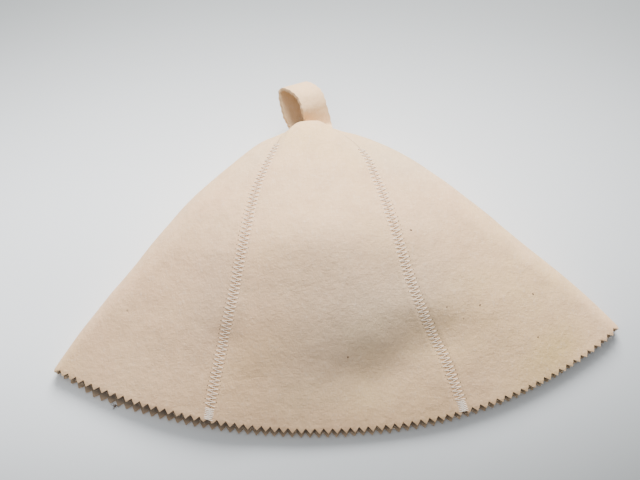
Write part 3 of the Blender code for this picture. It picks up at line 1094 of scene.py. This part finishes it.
gore_trees = [tree_of(piece) for piece in gores.values()]
bm = bmesh.new()
for pixel in SPECK_PIXELS:
    place, out = felt_under(pixel)
    upright = out.to_track_quat("Z", "Y").to_matrix().to_4x4()
    turn = Matrix.Rotation(shake.uniform(0, math.pi), 4, "Z")
    shape = Matrix.Diagonal((shake.uniform(*SPECK_STRETCH), 1.0, SPECK_FLATTEN, 1.0))
    ball = Matrix.Translation(place) @ upright @ turn @ shape
    bmesh.ops.create_icosphere(bm, subdivisions=2, radius=SPECK_RADIUS, matrix=ball)
specks = finish_piece("plant_specks", bm, bits)
print("specks:", len(SPECK_PIXELS))

# %% A tuft of dark lint where the back left seam ends
LINT_STRANDS, LINT_LENGTH, LINT, LINT_BENDS = 14, 3.4 * MM, 0.16 * MM, 6
LINT_STEP, LINT_ALONG = SEAMS[4].step, 0.997
LINT_ASIDE = 0.3
BEFORE_HEM, AT_HEM = 0.98, 0.999
FAN, CURL, LINT_SHARES, LINT_RISE = (-1.1, 1.1), (-1.5, 1.5), (0.5, 1.0), (0.0, 0.6)


def unit(vector):
    return vector / np.linalg.norm(vector)


root = on_felt(LINT_STEP - LINT_ASIDE, LINT_ALONG, FELT / 2)
root[2] = max(root[2], LINT)
outward = unit(on_felt(LINT_STEP, AT_HEM, 0.0) - on_felt(LINT_STEP, BEFORE_HEM, 0.0))
along_hem = unit(on_felt(LINT_STEP - 1, LINT_ALONG, 0.0) - on_felt(LINT_STEP, LINT_ALONG, 0.0))
strands = []
for _ in range(LINT_STRANDS):
    t = np.linspace(0, 1, LINT_BENDS)[:, None]
    fan, curl = shake.uniform(*FAN), shake.uniform(*CURL)
    run = t * shake.uniform(*LINT_SHARES) * LINT_LENGTH
    way = np.cos(fan + curl * t) * outward + np.sin(fan + curl * t) * along_hem
    rise = shake.uniform(*LINT_RISE) * MM * t * np.array([0.0, 0.0, 1.0])
    strands.append(root + run * way + rise)
lint = tubes("seam_lint", strands, LINT, bits)
print("lint strands:", LINT_STRANDS)

# %% [markdown]
# ## Fuzz
#
# The ends of the wool fibres stand up from the felt, and most of all from its cut edge. They
# are too thin to see one by one, but together they make the outline soft. Each hair is a thin
# tapered thread that starts in the felt, leans along it and curls out.

# %% Loose fibres on the felt and along the hem


class Fuzz(NamedTuple):
    count: int
    alongs: tuple     # from and to, as shares of the way from tip to hem
    lengths: tuple    # shortest and longest, in millimetres
    lift: float       # how steeply the hairs rise


FUZZ = [
    Fuzz(1700, (0.03, 0.99), (0.6, 2.0), 0.35),
    Fuzz(1500, (0.982, 0.9995), (0.6, 1.8), 0.25),
]
HAIR, HAIR_TIP = 0.055 * MM, 0.35
HAIR_BENDS, HAIR_CURL, HAIR_ROOT = 4, (-1.2, 1.2), 0.15 * MM
UP_STEP = 0.004
WOOL_COLOUR = (0.86, 0.66, 0.47, 1.0)


def hairs_on(alongs, lengths, lift):
    """Curved lines that start in the outer skin."""
    lines = []
    for along, length in zip(alongs, lengths):
        step = shake.uniform(0, STEPS)
        way = shake.uniform(0, 2 * math.pi)
        bend = shake.uniform(*HAIR_CURL)
        point = on_felt(step, along, 0.0)
        out = unit(on_felt(step, along, MM) - point)
        down = unit(point - on_felt(step, along - UP_STEP, 0.0))
        aside = np.cross(out, down)
        base = on_felt(step, along, FELT / 2 - HAIR_ROOT)
        t = np.linspace(0, 1, HAIR_BENDS)[:, None]
        lean = np.cos(way + bend * t) * aside + np.sin(way + bend * t) * down
        line = base + length * (t * lean + lift * t**1.5 * out)
        line[:, 2] = np.maximum(line[:, 2], HAIR)
        lines.append(line)
    return lines


hair_alongs = [shake.uniform(*kind.alongs, kind.count) for kind in FUZZ]
lines = []
for kind, alongs in zip(FUZZ, hair_alongs):
    lines += hairs_on(alongs, shake.uniform(*kind.lengths, kind.count) * MM, kind.lift)
wool = Finish("loose_wool")
wool.set(Base_Color=WOOL_COLOUR, Roughness=0.8, Specular_IOR_Level=0.2)
fuzz = tubes("felt_fuzz", lines, HAIR, wool, roundness=0, tip=HAIR_TIP)
print("hairs:", len(lines), "faces:", len(fuzz.data.polygons))

# %% [markdown]
# ## Cut sizes of the gores
#
# The gores and the strip are cloth. For each gore the size that it was cut to is printed.
# A gore is as wide as its teeth at the hem and as long as the slant, and much narrower at
# the tip, so its flat area, and the share of that size that it fills, are printed too. The
# front drapes over the back, the side gores are folded, and the back ones lie on the table.

for name, seam, following in zip(GORES, SEAMS, SEAMS[1:] + SEAMS[:1]):
    steps = (following.step - seam.step) % STEPS
    middle = share_at(np.array([seam.step + steps / 2]), np.array([0.5]))[0] % 1.0
    size = (steps * HEM_PITCH / 2, float(slants[int(middle * NET_COLUMNS)]))
    gores[name].data.calc_loop_triangles()
    area = sum(face.area for face in gores[name].data.polygons) / 2
    print(name, "flat:", [round(v / MM) for v in size], "mm; area:", round(area, 4), "m2; filled:",
          round(area / (size[0] * size[1]), 2))
